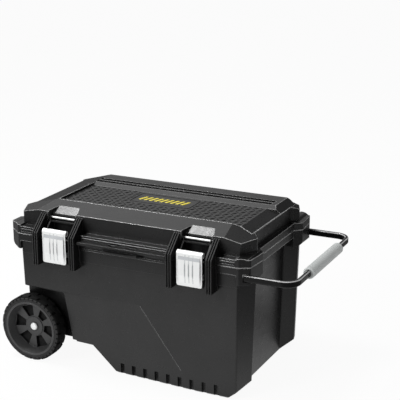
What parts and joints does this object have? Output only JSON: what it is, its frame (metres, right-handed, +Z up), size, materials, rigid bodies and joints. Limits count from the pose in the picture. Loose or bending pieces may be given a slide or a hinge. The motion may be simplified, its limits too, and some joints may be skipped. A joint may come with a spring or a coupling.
{
  "type": "jobsite storage box",
  "caption": "Wheeled black plastic tool chest with a hinged hollow lid, bright front latches, a sliding pull handle with a grey grip and a lift-out tray.",
  "frame": {"origin": "on the floor under the middle of the tub, on the tub's flat bottom face", "axes": "+X along the chest toward the pull handle, +Y from the latches to the hinge, +Z up"},
  "size_m": [0.8355, 0.464, 0.426],
  "materials": {
    "chest_plastic": "fine grained moulded plastic",
    "tray_plastic": "fine grained moulded plastic",
    "hub_plastic": "smooth moulded plastic",
    "tyre_rubber": "dull solid rubber",
    "bright_steel": "bright, brushed along its length",
    "pin_steel": "plain turned steel",
    "handle_paint": "black paint with a soft shine",
    "grip_rubber": "soft grey rubber",
    "guide_plastic": "smooth moulded plastic"
  },
  "bodies": {
    "tub": {"tub": "chest_plastic", "hinge_pin": "pin_steel", "axle": "pin_steel", "axle_cap_front": "bright_steel", "axle_cap_back": "bright_steel", "axle_washer_front": "pin_steel", "axle_washer_back": "pin_steel", "latch_pin_left": "pin_steel", "latch_pin_right": "pin_steel", "handle_collar_front": "guide_plastic", "handle_collar_back": "guide_plastic"},
    "lid": {"lid": "chest_plastic", "strike_rod_left": "bright_steel", "strike_rod_right": "bright_steel"},
    "tray": {"tray": "tray_plastic"},
    "wheel_front": {"wheel_hub_front": "hub_plastic", "tyre_front": "tyre_rubber"},
    "wheel_back": {"wheel_hub_back": "hub_plastic", "tyre_back": "tyre_rubber"},
    "handle": {"handle_tube": "handle_paint", "handle_grip": "grip_rubber", "handle_plug_front": "guide_plastic", "handle_plug_back": "guide_plastic"},
    "latch_left": {"latch_plate_left": "bright_steel"},
    "latch_right": {"latch_plate_right": "bright_steel"},
    "hook_left": {"latch_hook_left": "guide_plastic"},
    "hook_right": {"latch_hook_right": "guide_plastic"}
  },
  "joints": [
    {"name": "lid_hinge", "type": "hinge", "parent": "tub", "child": "lid", "pos_m": [0, 0.219, 0.35], "axis": [-1, 0, 0], "range_deg": [0, 95]},
    {"name": "wheel_front_spin", "type": "hinge", "parent": "tub", "child": "wheel_front", "pos_m": [-0.286, -0.195, 0.089], "axis": [0, 1, 0], "continuous": true},
    {"name": "wheel_back_spin", "type": "hinge", "parent": "tub", "child": "wheel_back", "pos_m": [-0.286, 0.195, 0.089], "axis": [0, 1, 0], "continuous": true},
    {"name": "handle_slide", "type": "slide", "parent": "tub", "child": "handle", "axis": [1, 0, 0], "range_m": [-0.07, 0]},
    {"name": "tray_lift", "type": "slide", "parent": "tub", "child": "tray", "axis": [0, 0, 1], "range_m": [0, 0.03]},
    {"name": "latch_left_swing", "type": "hinge", "parent": "tub", "child": "latch_left", "pos_m": [-0.19, -0.2236, 0.3716], "axis": [-1, 0, 0], "range_deg": [0, 110]},
    {"name": "hook_left_swing", "type": "hinge", "parent": "latch_left", "child": "hook_left", "pos_m": [-0.19, -0.22, 0.3166], "axis": [-1, 0, 0], "range_deg": [-110, 0]},
    {"name": "latch_right_swing", "type": "hinge", "parent": "tub", "child": "latch_right", "pos_m": [0.19, -0.2236, 0.3716], "axis": [-1, 0, 0], "range_deg": [0, 110]},
    {"name": "hook_right_swing", "type": "hinge", "parent": "latch_right", "child": "hook_right", "pos_m": [0.19, -0.22, 0.3166], "axis": [-1, 0, 0], "range_deg": [-110, 0]}
  ],
  "couplings": [
    {"joint": "hook_left_swing", "follows": "latch_left_swing", "ratio": -1},
    {"joint": "hook_right_swing", "follows": "latch_right_swing", "ratio": -1}
  ]
}
